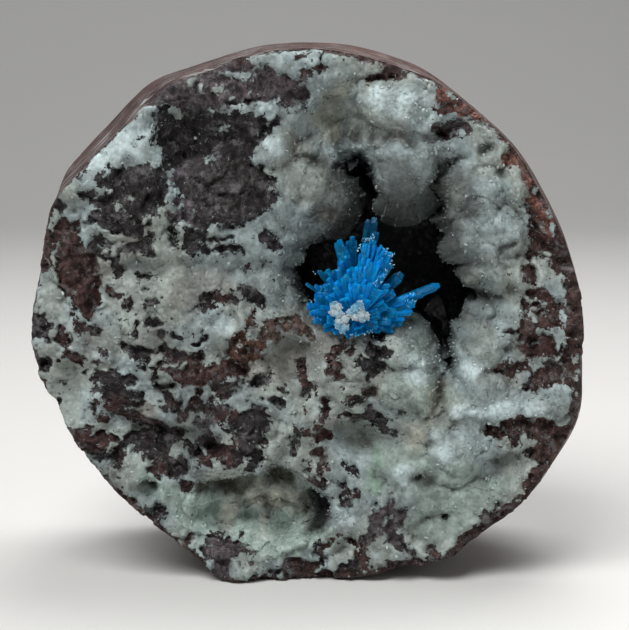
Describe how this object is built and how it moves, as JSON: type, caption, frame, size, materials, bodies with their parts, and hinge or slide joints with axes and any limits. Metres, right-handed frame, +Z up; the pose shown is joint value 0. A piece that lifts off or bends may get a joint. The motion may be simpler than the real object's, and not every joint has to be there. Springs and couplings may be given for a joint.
{
  "type": "cavansite specimen",
  "caption": "Standing stone with sawn sides and a broken front, a crystal-lined hollow holding a spray of blue cavansite on its lip, and a lower druse pocket.",
  "frame": {"origin": "on the sawn foot, below the middle of the whole piece's box", "axes": "+Z up; the broken front with the hollow faces -Y; +X to the right as seen from the front"},
  "size_m": [0.0654, 0.0372, 0.0635],
  "materials": {
    "basalt": "matt, red-brown and dark grey, smooth on the sawn sides and rough on the broken front",
    "zeolite_druse": "sugary druse of fine pale crystals, glinting",
    "pocket_druse": "fine druse with a pale green cast",
    "cavansite": "vitreous, translucent bright blue prisms",
    "white_zeolite": "fine white crystals, satin"
  },
  "bodies": {
    "root": {"basalt_matrix": "basalt", "vug_crust": "zeolite_druse", "pocket_crust": "pocket_druse", "cavansite_spray": "cavansite", "zeolite_bud": "white_zeolite"}
  },
  "joints": []
}
